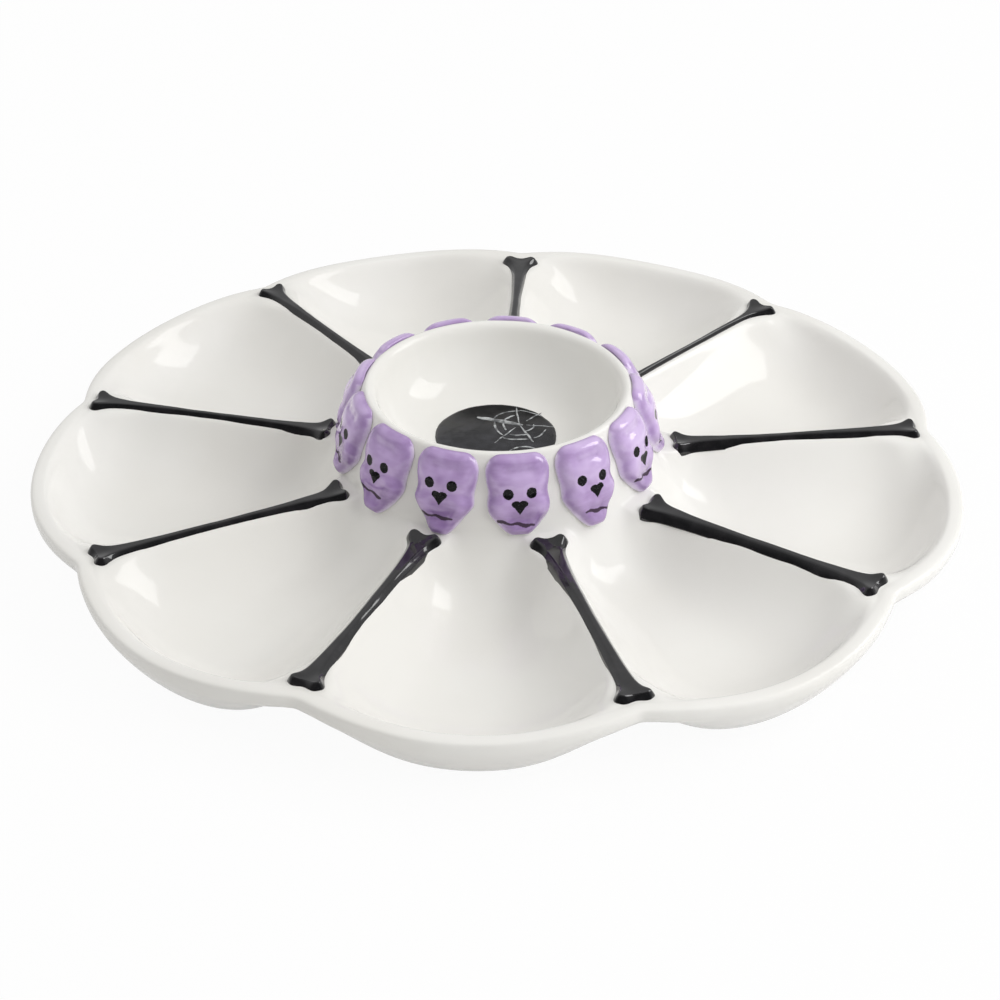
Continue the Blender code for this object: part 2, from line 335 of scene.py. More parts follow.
# Rolled lip: share of its width in from the edge, and tenths of a millimetre down
LIP = (
    *((0.92, 3), (0.78, 0.5), (0.55, 0), (0.36, 0.2)),
    *((0.2, 1.5), (0.09, 4.5), (0.02, 10), (0, 22)),
)
UNDER_REACHES = (
    *(1.0, 0.985, 0.965, 0.94, 0.91, 0.87, 0.82, 0.75, 0.65),
    *(0.5, 0.35, 0.25, 0.17, 0.10, 0.05, 0.0),
)
# Inside of the hollow bowl, seen from below: radius and height
HOLLOW = ((0.0482, 0.0212), (0.0468, 0.0240), (SPIGOT_INNER, 0.0290), (0.0460, 0.0345))
HOLLOW_STEPS = 12
HOLLOW_FIRST_STEP = 8

ROWS = [turned_row(WELL_FLOOR_RADIUS * share, WELL_FLOOR_HEIGHT) for share in FLOOR_SHARES]
for step in range(WELL_STEPS + 1):
    ROWS.append(turned_row(*well_point(WELL_SWEEP * step / WELL_STEPS, 0.0)))
for inside, drop in RIM:
    ROWS.append(turned_row(CREST_RADIUS - inside, BOWL_HEIGHT - drop))
for share in WALL_SHARES:
    radius = WALL_TOP_RADIUS + share * (WALL_FOOT_RADIUS - WALL_TOP_RADIUS)
    level = WALL_TOP_HEIGHT + share * (WALL_FOOT_HEIGHT - WALL_TOP_HEIGHT)
    ROWS.append(turned_row(radius, level))
ROWS += [top_row(reach) for reach in SCOOP_REACHES]
ROWS += [lip_row(inset, drop * 0.0001) for inset, drop in LIP]
ROWS += [under_row(reach) for reach in UNDER_REACHES]
ROWS += [turned_row(radius, level) for radius, level in HOLLOW]
for step in range(HOLLOW_FIRST_STEP, -1, -1):
    ROWS.append(turned_row(*well_point(WELL_SWEEP * step / HOLLOW_STEPS, BOWL_WALL)))
for share in (0.7, 0.35, 0.0):
    ROWS.append(turned_row(WELL_FLOOR_RADIUS * share, WELL_FLOOR_HEIGHT - BOWL_WALL))
print("rows", len(ROWS))

# %% Draw one lobe, spin it nine times and close it
put_all_down()
bpy.ops.mesh.primitive_grid_add(
    x_subdivisions=len(COLUMNS) - 1, y_subdivisions=len(ROWS) - 1, size=2
)
glazed_body = bpy.context.object
glazed_body.name = "glazed_body"
for point in glazed_body.data.vertices:
    column = round((point.co.x + 1) / 2 * (len(COLUMNS) - 1))
    row = round((point.co.y + 1) / 2 * (len(ROWS) - 1))
    radius, angle, level = ROWS[row](COLUMNS[column])
    turn = FIRST_RIDGE + LOBE_ANGLE / 2 + angle
    point.co = (radius * math.cos(turn), radius * math.sin(turn), level)

open_piece(glazed_body)
bpy.ops.mesh.select_all(action="SELECT")
bpy.ops.mesh.spin(
    steps=LOBES - 1,
    dupli=True,
    angle=LOBE_ANGLE * (LOBES - 1),
    center=(0, 0, 0),
    axis=(0, 0, 1),
)
bpy.ops.mesh.select_all(action="SELECT")
bpy.ops.mesh.remove_doubles(threshold=0.00002)
bpy.ops.mesh.normals_make_consistent(inside=False)
apply_modifier(glazed_body, "SUBSURF", levels=1, render_levels=1)
ripple(glazed_body, size=0.030, height=0.00012, seed=1)
ripple(glazed_body, size=0.009, height=0.00003, seed=2)
for point in glazed_body.data.vertices:
    point.co.z = max(point.co.z, 0.0)
smooth_shade(glazed_body)
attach(glazed_body, "root")
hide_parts("dish", "dip_bowl")
print("glazed body", triangles(glazed_body), "triangles")

# %% [markdown]
# ## Bones
#
# Each bone is a low relief: a narrow flat top, sides that lean in, and ends that spread like a
# trumpet into two knobs with a shallow notch between them. It is modelled from a flat grid, whose
# columns are set to the outline station by station. Insets that also lift make the leaning sides,
# and the two narrow ones keep the hard line between top and sides when the cage is subdivided. The
# grid's inner rows stay well inside the insets: where an inset crosses a row, the side turns over.

# %% Outline of a bone along +X
BONE_FOOT = CREST_HEIGHT - 0.0019
# From an end, in millimetres: the edge's place and half width, the places of the inner rows and of
# the middle, and how far out the inner rows lie, as a share of the half width
BONE_END = (
    (1.2, 5.7, 0.0, 1.4, 0.58),
    (2.9, 6.9, 2.3, 3.0, 0.58),
    (4.9, 6.3, 4.7, 5.0, 0.52),
    (7.2, 4.8, 7.2, 7.2, 0.42),
    (10.0, 3.9, 10.0, 10.0, 0.32),
    (14.0, 3.4, 14.0, 14.0, 0.24),
    (19.0, 3.05, 19.0, 19.0, 0.20),
    (26.0, 2.8, 26.0, 26.0, 0.18),
    (36.0, 2.6, 36.0, 36.0, 0.18),
)


def bone_point(column, row):
    """Plan place of one point of the bone's grid; row 0 and 4 are its edges, row 2 its middle."""
    columns = 2 * len(BONE_END)
    from_inner = column < len(BONE_END)
    edge, half, inner, centre, share = BONE_END[column if from_inner else columns - 1 - column]
    from_end = (edge, inner, centre, inner, edge)[row] * 0.001
    side = (-1.0, -share, 0.0, share, 1.0)[row] * half * 0.001
    return (BONE_INNER + from_end if from_inner else BONE_OUTER - from_end), side


print("bone stations", 2 * len(BONE_END))

# %% Model one bone
# Each inset's width, and how far it lifts
BONE_INSETS = ((0.0005, 0.0017), (0.0011, 0.0013), (0.00015, 0.0001), (0.0003, 0.0002))
KNOB_FROM_END = 0.0028
KNOB_APART = 0.0038
NOTCH_FROM_END = 0.0048


def swell(places, lift, reach):
    """Lift or press the bone round some places, with a soft brush."""
    near = 0.0016
    pick("VERT", lambda point: any((point.co.xy - Vector(spot)).length < near for spot in places))
    bpy.ops.transform.translate(
        value=(0, 0, lift),
        use_proportional_edit=True,
        proportional_edit_falloff="SMOOTH",
        proportional_size=reach,
    )


def model_bone():
    """Set a grid to the bone's outline, lift its top and swell its knobs."""
    put_all_down()
    columns = 2 * len(BONE_END)
    bpy.ops.mesh.primitive_grid_add(x_subdivisions=columns - 1, y_subdivisions=4, size=2)
    bone = bpy.context.object
    for point in bone.data.vertices:
        column = round((point.co.x + 1) / 2 * (columns - 1))
        point.co = (*bone_point(column, round((point.co.y + 1) * 2)), BONE_FOOT)
    open_piece(bone)
    bpy.ops.mesh.select_all(action="SELECT")
    for width, lift in BONE_INSETS:
        bpy.ops.mesh.inset(thickness=width, depth=lift)
    for end, facing in ((BONE_INNER, 1), (BONE_OUTER, -1)):
        knobs = [(end + facing * KNOB_FROM_END, side * KNOB_APART) for side in (-1, 1)]
        swell(knobs, lift=0.0007, reach=0.0032)
        swell([(end + facing * NOTCH_FROM_END, 0.0)], lift=-0.0004, reach=0.0028)
    apply_modifier(bone, "SUBSURF", levels=3, render_levels=3)
    open_piece(bone)
    pick("EDGE", lambda edge: edge.is_boundary)
    bpy.ops.mesh.edge_face_add()
    bpy.ops.mesh.select_all(action="SELECT")
    bpy.ops.mesh.normals_make_consistent(inside=False)
    put_all_down()
    return bone


def own_copy(piece, name):
    """Copy a piece with a mesh of its own."""
    copy = piece.copy()
    copy.data = piece.data.copy()
    copy.name = name
    copy.data.name = name
    bpy.context.scene.collection.objects.link(copy)
    return copy


bone_master = model_bone()
print("bone", triangles(bone_master), "triangles")

# %% Lay nine bones on the ridges
# Widths of knobs and shaft, as shares of the modelled bone
BONE_WIDTHS = (
    (1.12, 1.00),
    (0.94, 1.08),
    (0.98, 0.95),
    (0.95, 0.97),
    (1.00, 1.14),
    (1.06, 1.15),
    (1.08, 1.25),
    (0.94, 1.12),
    (1.04, 0.54),
)
# How far the inner and the outer end lie further out than the modelled ones, in millimetres
BONE_REACH = (
    (-0.8, -1.5),
    (0.3, 1.6),
    (0.0, 1.5),
    (-2.0, 0.0),
    (-1.4, 0.0),
    (-1.9, 0.4),
    (0.3, 0.0),
    (1.5, 1.5),
    (0.0, 1.0),
)
bones = []
for number in range(LOBES):
    bone = own_copy(bone_master, f"glazed_bone_{number + 1}")
    knobs, shaft = BONE_WIDTHS[number]
    ripple(bone, size=0.016, height=0.00018, seed=number + 3)
    ripple(bone, size=0.006, height=0.00006, seed=number + 13)
    inner, outer = BONE_REACH[number]
    for point in bone.data.vertices:
        from_end = min(point.co.x - BONE_INNER, BONE_OUTER - point.co.x)
        point.co.y *= knobs + (shaft - knobs) * ease((from_end - 0.005) / 0.012)
        share = (point.co.x - BONE_INNER) / (BONE_OUTER - BONE_INNER)
        point.co.x += 0.001 * (inner + share * (outer - inner))
        point.co.z += crest_height(point.co.x) - CREST_HEIGHT
    bone.data.transform(Matrix.Rotation(FIRST_RIDGE + number * LOBE_ANGLE, 4, "Z"))
    smooth_shade(bone)
    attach(bone, "root")
    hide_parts(f"bone_{number + 1}")
    bones.append(bone)
bpy.data.objects.remove(bone_master)
print("bones", len(bones), "of", triangles(bones[0]), "triangles")

# %% [markdown]
# ## Skulls
#
# A skull is a thick relief: a squarish brow, pinched temples, low cheeks and a narrower chin. It is
# modelled flat, as from a slab of clay: a grid cut to the outline row by row, extruded in steps
# that draw in, and then pushed in and out with a soft brush, which is what proportional editing
# does. Flat is easier to judge and to measure on. The finished slab is then laid on the bowl's
# leaning wall, once for each skull.

# %% Outline of a flat skull, across on X, down on -Y, relief on Z
SKULLS = 13
FIRST_SKULL = math.radians(281.3)
SKULL_TOP = -0.0014
SKULL_LENGTH = 0.0279
SKULL_HALF_WIDTH = 0.0108
SKULL_RELIEF = 0.0048
GRID_ROWS = 16
GRID_COLUMNS = 8
# Share of the length, and there the shares of the half width and of the relief
OUTLINE = (
    (0.00, 0.60, 0.30),
    (0.04, 0.80, 0.52),
    (0.08, 0.90, 0.68),
    (0.18, 1.00, 0.90),
    (0.30, 1.00, 1.00),
    (0.41, 0.96, 1.00),
    (0.49, 0.935, 0.98),
    (0.57, 0.98, 0.95),
    (0.66, 1.00, 0.90),
    (0.74, 0.95, 0.82),
    (0.82, 0.79, 0.74),
    (0.88, 0.65, 0.65),
    (0.94, 0.51, 0.50),
    (1.00, 0.30, 0.25),
)
# Steps of the relief: rise as a share of the whole, and how much of the width is left
RELIEF_STEPS = ((0.20, 0.985), (0.34, 0.93), (0.28, 0.83), (0.18, 0.68))


def outline_at(share):
    """Half width and relief shares at a share of the length."""
    for near, far in zip(OUTLINE, OUTLINE[1:]):
        if share <= far[0] + 1e-6:
            blend = (share - near[0]) / (far[0] - near[0])
            return near[1] + blend * (far[1] - near[1]), near[2] + blend * (far[2] - near[2])
    return OUTLINE[-1][1:]


print("skull half width at the eyes", SKULL_HALF_WIDTH * outline_at(0.45)[0])

# %% Model one skull
EYE_APART = 0.0036
EYE_DOWN = 0.0111
NOSE_DOWN = 0.0155
# Lumps pushed out or in: across, down, lift and reach
SIDE_LUMPS = (
    (0.0066, 0.0162, 0.0005, 0.0046),
    (0.0086, 0.0120, -0.0005, 0.0036),
    (0.0072, 0.0222, -0.0007, 0.0030),
)
MIDDLE_LUMPS = (
    (0.0, 0.0240, 0.0005, 0.0044),
    (0.0, 0.0060, 0.0008, 0.0090),
    (-0.0040, 0.0208, -0.0002, 0.0034),
    (0.0, 0.0208, -0.0002, 0.0034),
    (0.0040, 0.0208, -0.0002, 0.0034),
)


def push(across, down, lift, reach):
    """Lift or press the slab's face round one spot, with a soft brush."""
    spot = Vector((across, -down))
    pick("VERT", lambda point: point.normal.z > 0.5 and (point.co.xy - spot).length < 0.0009)
    bpy.ops.transform.translate(
        value=(0, 0, lift),
        use_proportional_edit=True,
        proportional_edit_falloff="SMOOTH",
        proportional_size=reach,
    )


def model_skull():
    """Model the slab, its drawn-in steps and its lumps."""
    put_all_down()
    bpy.ops.mesh.primitive_grid_add(x_subdivisions=GRID_COLUMNS, y_subdivisions=GRID_ROWS, size=1)
    skull = bpy.context.object
    open_piece(skull)
    bpy.ops.mesh.select_all(action="SELECT")
    bpy.ops.transform.resize(value=(2 * SKULL_HALF_WIDTH, SKULL_LENGTH, 1))
    bpy.ops.transform.translate(value=(0, -SKULL_TOP - SKULL_LENGTH / 2, 0))
    for row in range(GRID_ROWS + 1):
        level = -SKULL_TOP - SKULL_LENGTH * row / GRID_ROWS
        pick("VERT", lambda point: abs(point.co.y - level) < 0.0001)
        width_share = outline_at(row / GRID_ROWS)[0]
        bpy.ops.transform.resize(value=(width_share, 1, 1), center_override=(0, level, 0))
    about = (0, -SKULL_TOP - SKULL_LENGTH / 2, 0)
    bpy.ops.mesh.select_all(action="SELECT")
    shrink = 1.0
    for rise, width_left in RELIEF_STEPS:
        length_left = 1 - (1 - width_left) * 2 * SKULL_HALF_WIDTH / SKULL_LENGTH
        extrude((0, 0, rise * SKULL_RELIEF), (width_left, length_left, 1), about)
        shrink *= length_left
    for row in range(GRID_ROWS + 1):
        share = row / GRID_ROWS
        level = about[1] + (0.5 - share) * SKULL_LENGTH * shrink
        pick(
            "VERT",
            lambda point: abs(point.co.y - level) < 0.0001 and point.co.z > SKULL_RELIEF - 0.0001,
        )
        bpy.ops.transform.translate(value=(0, 0, (outline_at(share)[1] - 1) * SKULL_RELIEF * 0.6))
    apply_modifier(skull, "SUBSURF", levels=1, render_levels=1)
    open_piece(skull)
    for side in (-1, 1):
        for across, down, lift, reach in SIDE_LUMPS:
            push(side * across, down, lift, reach)
    for lump in MIDDLE_LUMPS:
        push(*lump)
    apply_modifier(skull, "SUBSURF", levels=1, render_levels=1)
    open_piece(skull)
    for side in (-1, 1):
        push(side * EYE_APART, EYE_DOWN, lift=-0.0003, reach=0.0024)
    push(0.0, NOSE_DOWN, lift=-0.0002, reach=0.0026)
    apply_modifier(skull, "SUBSURF", levels=1, render_levels=1)
    open_piece(skull)
    pick("EDGE", lambda edge: edge.is_boundary)
    bpy.ops.mesh.edge_face_add()
    bpy.ops.mesh.select_all(action="SELECT")
    bpy.ops.mesh.normals_make_consistent(inside=False)
    put_all_down()
    return skull


skull_master = model_skull()
print("flat skull", triangles(skull_master), "triangles")
print("flat skull's size", [round(size, 4) for size in skull_master.dimensions])

# %% [markdown]
# The faces are painted, not modelled: two black eyes, a heart-shaped nose and one wavy brush line
# for the mouth. Each point stores how far it lies from those marks, in millimetres, and the finish
# further down turns that distance into an edge as sharp as a brush leaves. Every copy gets slightly
# different marks, because each was painted by hand.

# %% Distances from the painted marks, in millimetres
EYE_SIZE = (1.6, 1.85)
NOSE_LOBE_SIZE = (1.4, 1.2)


def oval(across, down, wide, tall):
    """Distance from an oval's edge, less than 0 inside."""
    return (np.hypot(across / wide, down / tall) - 1) * min(wide, tall)


def eye_and_nose(across, down, hand, nose_aside):
    """Distance from the nearest eye or from the nose."""
    nearest = np.full(len(across), 99.0)
    for side in (-1, 1):
        wander = hand * side * 0.25
        eye_across = across - side * EYE_APART * 1000 - wander
        eye_down = down - EYE_DOWN * 1000 - wander
        nearest = np.minimum(nearest, oval(eye_across, eye_down, *EYE_SIZE))
    nose_across = np.abs(across + 0.3 * hand - nose_aside)
    nose_down = down - NOSE_DOWN * 1000
    lobe = oval(nose_across - 1.1, nose_down + 0.8, *NOSE_LOBE_SIZE)
    slant = nose_across * 0.83 + nose_down * 0.56 - 1.60
    wedge = np.maximum(slant, -1.0 - nose_down)
    return np.minimum(nearest, np.minimum(lobe, wedge))


def mouth_line(across, down, hand, stroke):
    """Distance from the wavy brush line of the mouth."""
    start, finish, level, tilt = stroke
    along = np.clip(across, start, finish)
    wave = 0.24 * np.sin(along * 1.35 + 2.0 * hand) + tilt * (along - (start + finish) / 2)
    thick = 0.52 + 0.16 * np.sin(along * 0.9 + 1.0 + hand)
    return np.hypot(across - along, down - level - wave) - thick


print("distance at the middle of an eye", float(oval(0.0, 0.0, *EYE_SIZE)), "mm")

# %% Lay the skulls on the wall
WALL_BEND_DOWN = 0.0225
WALL_BEND = 30.0
JAW_DOWN = 0.0155
JAW_BLEND = 0.0060
SEATED = 0.0002


def on_wall(across, down, off, turn):
    """Places on the bowl's leaning wall; below its foot they bend out onto the ridges."""
    lean = math.atan2(WALL_FOOT_RADIUS - WALL_TOP_RADIUS, WALL_TOP_HEIGHT - WALL_FOOT_HEIGHT)
    wall_radius = WALL_TOP_RADIUS + down * math.sin(lean)
    off = off + WALL_BEND * np.clip(down - WALL_BEND_DOWN, 0.0, None) ** 2
    radius = wall_radius + off * math.cos(lean)
    level = WALL_TOP_HEIGHT - down * math.cos(lean) + off * math.sin(lean)
    angle = turn + across / wall_radius
    return np.stack((radius * np.cos(angle), radius * np.sin(angle), level), axis=1)


def store(piece, name, values):
    """Store one number for each point of a piece."""
    piece.data.attributes.new(name, "FLOAT", "POINT").data.foreach_set("value", values)


# Shift of eyes and nose, extra shift of the nose, and the mouth's start, end, level and tilt
BY_HAND = {
    0: ((0.0, 0.3), -0.2, (-6.9, 4.2, 21.9, 0.15)),
    1: ((-0.2, 0.0), 1.3, (-3.9, 5.1, 22.7, 0.13)),
    12: ((-0.3, -1.3), -0.1, (-5.8, 4.1, 21.2, 0.06)),
}
# How watery the lilac is on each skull, from dense to pale. It is partly the paint's own
# variation and partly painted light: the skulls on the right and at the back, towards the
# key light, are paler, and those on the left are darker.
WASH_AND_LIGHT = (0.50, 0.70, 0.86, 0.96, 1.0, 1.0, 1.0, 1.0, 0.96, 0.84, 0.58, 0.36, 0.42)
# Lengths and jaws of single skulls, as shares of the modelled ones
SKULL_STRETCH = {0: 0.99, 1: 1.06, 11: 1.06, 12: 1.04}
USUAL_STRETCH = 1.02
JAW_WIDTH = {0: 1.0, 1: 0.86, 12: 0.80}
USUAL_JAW = 0.90
skulls = []
for number in range(SKULLS):
    skull = own_copy(skull_master, f"glazed_skull_{number + 1}")
    hand = noise.noise(Vector((number * 1.7 + 0.4, 3.3, 0.7))) * 1.6
    usual_mouth = (-6.2 + 0.6 * hand, 4.0 + 0.5 * hand, 21.3, 0.10)
    usual = ((0.3 * hand, 0.3 * hand), 0.3 * hand, usual_mouth)
    (aside, lower), nose_aside, stroke = BY_HAND.get(number, usual)
    ripple(skull, size=0.012, height=0.00012, seed=number + 31)
    places = np.empty(len(skull.data.vertices) * 3)
    skull.data.vertices.foreach_get("co", places)
    across, down, off = places.reshape(-1, 3).T * np.array([[1.0], [-1.0], [1.0]])
    down = SKULL_TOP + (down - SKULL_TOP) * SKULL_STRETCH.get(number, USUAL_STRETCH)
    low = np.clip((down - JAW_DOWN) / JAW_BLEND, 0, 1)
    across = across * (1 - (1 - JAW_WIDTH.get(number, USUAL_JAW)) * low * low * (3 - 2 * low))
    marks = eye_and_nose(across * 1000 - aside, down * 1000 - lower, hand, nose_aside)
    store(skull, "marks", marks)
    store(skull, "mouth", mouth_line(across * 1000, down * 1000, hand, stroke))
    # The coat counts from the slab's foot, so it is thin along the edges, but not on the crown.
    # The same count places the painted shade and the painted reflection on the skulls' sides.
    store(skull, "coat", off * 1000 + 2.5 * np.clip(0.9 - down * 600, 0, 1))
    # The lilac is paler on the brow than below it: painted light on the brow and painted shade on
    # the lower face
    store(skull, "wash_and_light", WASH_AND_LIGHT[number] + 0.12 - 0.26 * np.clip((down - 0.006) / 0.010, 0, 1))
    # Place for the brush strokes, in millimetres, different on each skull
    brush = np.stack((across * 1000, down * 1000 + 40 * number, off * 1000), axis=1)
    held = skull.data.attributes.new("brush", "FLOAT_VECTOR", "POINT")
    held.data.foreach_set("vector", brush.ravel())
    turn = FIRST_SKULL + number * math.tau / SKULLS
    skull.data.vertices.foreach_set("co", on_wall(across, down, off - SEATED, turn).ravel())
    smooth_shade(skull)
    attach(skull, "root")
    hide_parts(f"skull_{number + 1}")
    skulls.append(skull)
bpy.data.objects.remove(skull_master)
print("skulls", len(skulls), "of", triangles(skulls[0]), "triangles")

# %% [markdown]
# ## The disc in the well
#
# The floor of the well is brushed black, with a little cobweb drawn on it in white. The disc is a
# circle with a slightly unsteady edge, inset and raised by a coat's thickness. The web's threads
# are drawn as curves that swell and thin like brush strokes, and made into a mesh, because a drawn
# line keeps its width from every side.

# %% Black disc
DISC_RADIUS = 0.0210
DISC_MIDDLE = Vector((-0.0007, 0.0004, 0))
DISC_TOP = WELL_FLOOR_HEIGHT + 0.00035
put_all_down()
bpy.ops.mesh.primitive_circle_add(vertices=160, radius=DISC_RADIUS, fill_type="NGON")
well_disc = bpy.context.object
well_disc.name = "painted_well_disc"
for point in well_disc.data.vertices:
    unsteady = 0.00035 * noise.noise(point.co * 140) + 0.00012 * noise.noise(point.co * 600)
    point.co = DISC_MIDDLE + point.co * (DISC_RADIUS + unsteady) / DISC_RADIUS
    point.co.z = WELL_FLOOR_HEIGHT + 0.00005
open_piece(well_disc)
bpy.ops.mesh.select_all(action="SELECT")
bpy.ops.mesh.inset(thickness=0.0003, depth=0.0002)
bpy.ops.mesh.inset(thickness=0.0008, depth=0.0001)
bpy.ops.mesh.select_all(action="SELECT")
bpy.ops.mesh.normals_make_consistent(inside=False)
smooth_shade(well_disc)
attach(well_disc, "root")
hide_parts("well_disc")
print("disc", triangles(well_disc), "triangles")

# %% Threads of the cobweb
WEB_CENTRE = Vector((0.0071, 0.0078, DISC_TOP))
SECOND_CENTRE = WEB_CENTRE + Vector((0.0030, -0.0208, 0))
THREAD_STEPS = 14
# Angle in degrees, then start, end and half width in millimetres
SPOKES = (
    (165, -1.2, 15.5, 1.45),
    (99, 0.8, 11.8, 0.36),
    (50, 3.5, 11.2, 0.38),
    (357, 2.4, 12.2, 0.32),
    (296, 0.5, 12.6, 0.52),
    (238, 2.4, 15.0, 0.36),
)
# Start and end in degrees, then radius and half width in millimetres
ARCS = (
    (92, 162, 9.6, 0.42),
    (166, 236, 8.8, 0.50),
    (240, 292, 10.2, 0.46),
    (40, 92, 9.4, 0.30),
    (108, 150, 6.2, 0.58),
    (172, 222, 5.7, 0.54),
    (246, 296, 7.2, 0.58),
    (300, 366, 5.0, 0.38),
    (302, 344, 10.0, 0.42),
)
SECOND_ARCS = ((20, 160, 6.2, 0.46), (20, 160, 3.4, 0.34))


def thread(points, half_width):
    """One brushed thread through some points, thinner at its ends."""
    line = bpy.data.curves.new("thread", "CURVE")
    line.dimensions = "3D"
    line.bevel_depth = half_width
    line.bevel_resolution = 2
    line.use_fill_caps = True
    spline = line.splines.new("POLY")
    spline.points.add(len(points) - 1)
    for index, place in enumerate(points):
        share = index / (len(points) - 1)
        spline.points[index].co = (*place, 1)
        pressed = 0.75 + 0.35 * noise.noise(Vector(place) * 900)
        taper = 0.4 + 0.6 * math.sin(math.pi * min(1, max(0, share))) ** 0.5
        spline.points[index].radius = pressed * taper
    stroke = bpy.data.objects.new("thread", line)
    bpy.context.scene.collection.objects.link(stroke)
    return stroke


def on_web(degrees, reach, centre=WEB_CENTRE):
    """Place on a web at an angle and a distance in millimetres from its middle."""
    turn = math.radians(degrees)
    return centre + Vector((math.cos(turn), math.sin(turn), 0)) * reach * 0.001


threads = []
shares = [step / THREAD_STEPS for step in range(THREAD_STEPS + 1)]
for degrees, start, finish, half_width in SPOKES:
    reaches = [start + (finish - start) * share for share in shares]
    stations = [on_web(degrees + 0.7 * math.sin(reach), reach) for reach in reaches]
    threads.append(thread(stations, half_width * 0.001))
for start, finish, reach, half_width in ARCS:
    stations = []
    for share in shares:
        unsteady = 1 + 0.03 * math.sin(5 * share + start)
        stations.append(on_web(start + (finish - start) * share, reach * unsteady))
    threads.append(thread(stations, half_width * 0.001))
for start, finish, reach, half_width in SECOND_ARCS:
    stations = [on_web(start + (finish - start) * share, reach, SECOND_CENTRE) for share in shares]
    threads.append(thread(stations, half_width * 0.001))
print("threads", len(threads))

# %% Join the threads to one flat web
WEB_FLATNESS = 0.35
put_all_down()
for stroke in threads:
    stroke.select_set(True)
bpy.context.view_layer.objects.active = threads[0]
bpy.ops.object.convert(target="MESH")
bpy.ops.object.join()
cobweb = bpy.context.object
cobweb.name = "painted_cobweb"
cobweb.data.name = "painted_cobweb"
open_piece(cobweb)
bpy.ops.mesh.select_all(action="SELECT")
bpy.ops.transform.resize(value=(1, 1, WEB_FLATNESS), center_override=(0, 0, DISC_TOP))
smooth_shade(cobweb)
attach(cobweb, "root")
print("cobweb", triangles(cobweb), "triangles")

# %% [markdown]
# ## Finishes
#
# All finishes are glazes. The white is one glossy layer. The black and the lilac are brushed on
# first and get a clear coat over them, which the shader has its own sockets for. What makes them
# look fired and not like plastic is small: the white has a faint cloudiness and a surface that is
# never quite flat, and the brushed colours are streaky and thin out at their edges, where the clay
# shows through. Some light is painted in as colour: painted shade along the skulls' sides and on
# their lower faces, a painted reflection of the white bowl on their lower sides, skulls that are
# paler towards the light, painted glints in the black of their eyes, and a painted reflection
# that leaves the front of the disc lighter than its back.


# %% Node helpers
class Finish:
    """A material with short ways to add and join nodes."""

    def __init__(self, name):
        self.material = bpy.data.materials.new(name)
        self.material.use_nodes = True
        self.tree = self.material.node_tree
        self.shader = self.tree.nodes["Principled BSDF"]

    def node(self, kind, **sockets):
        """Add a node; a value is set on its socket and another node's output is linked to it."""
        node = self.tree.nodes.new(kind)
        for name, value in sockets.items():
            self.feed(node, name.replace("_", " "), value)
        return node

    def feed(self, node, socket, value):
        """Set a socket, or link an output to it."""
        target = node.inputs[int(socket) if socket.isdigit() else socket]
        if isinstance(value, bpy.types.NodeSocket):
            self.tree.links.new(value, target)
        else:
            target.default_value = value

    def place(self):
        """Place on the plate, in metres."""
        return self.node("ShaderNodeTexCoord").outputs["Object"]

    def cloud(self, place, scale, detail=3.0):
        """Soft noise from 0 to 1."""
        noise_node = self.node("ShaderNodeTexNoise", Vector=place, Scale=scale, Detail=detail)
        return noise_node.outputs["Fac"]

    def between(self, value, low, high, start=0.0, end=1.0):
        """Map a value smoothly from one range to another."""
        node = self.node("ShaderNodeMapRange", Value=value)
        node.interpolation_type = "SMOOTHSTEP"
        sockets = ("From Min", "From Max", "To Min", "To Max")
        for name, number in zip(sockets, (low, high, start, end)):
            node.inputs[name].default_value = number
        return node.outputs["Result"]

    def sum(self, first, second, operation="ADD"):
        """Join two values by arithmetic."""
        node = self.tree.nodes.new("ShaderNodeMath")
        node.operation = operation
        self.feed(node, "0", first)
        self.feed(node, "1", second)
        return node.outputs[0]

    def blend(self, share, first, second):
        """Blend two colours."""
        node = self.tree.nodes.new("ShaderNodeMix")
        node.data_type = "RGBA"
        for index, value in ((0, share), (6, first), (7, second)):
            self.feed(node, str(index), value)
        return node.outputs[2]

    def stored(self, name):
        """A value stored on the mesh's points."""
        node = self.tree.nodes.new("ShaderNodeAttribute")
        node.attribute_name = name
        return node

    def bump(self, height, strength, distance):
        """Slight relief of the surface."""
        node = self.node("ShaderNodeBump", Height=height, Strength=strength, Distance=distance)
        self.tree.links.new(node.outputs["Normal"], self.shader.inputs["Normal"])

    def glaze_over(self, roughness):
        """Add the clear glaze that lies over a brushed colour."""
        self.shader.inputs["Coat Weight"].default_value = 1.0
        self.shader.inputs["Coat Roughness"].default_value = roughness

    def finish(self, colour, roughness):
        """Give the shader its colour and gloss."""
        self.feed(self.shader, "Base Color", colour)
        self.feed(self.shader, "Roughness", roughness)
        return self.material


def put_on(finish, *pieces):
    """Give pieces one finish."""
    for piece in pieces:
        piece.data.materials.clear()
        piece.data.materials.append(finish)


print("node helpers ready")

# %% White glaze
white = Finish("warm white glaze")
place = white.place()
cloudy = white.cloud(place, 16.0)
fine = white.cloud(place, 120.0)
tone = white.blend(
    white.between(cloudy, 0.35, 0.65), (0.840, 0.830, 0.797, 1), (0.876, 0.870, 0.844, 1)
)
# The white is a little darker and warmer low down, towards the bottoms of the scoops.
height = white.node("ShaderNodeSeparateXYZ", Vector=place).outputs["Z"]
darkening = white.between(height, 0.006, 0.013, 0.35, 0.0)
tone = white.blend(darkening, tone, (0.84, 0.83, 0.79, 1))
white.bump(white.sum(white.cloud(place, 55.0), fine), 0.10, 0.0004)
white.shader.inputs["Specular IOR Level"].default_value = 0.32
put_on(white.finish(tone, white.between(fine, 0.3, 0.7, 0.06, 0.10)), glazed_body)
print("white glaze on", glazed_body.name)

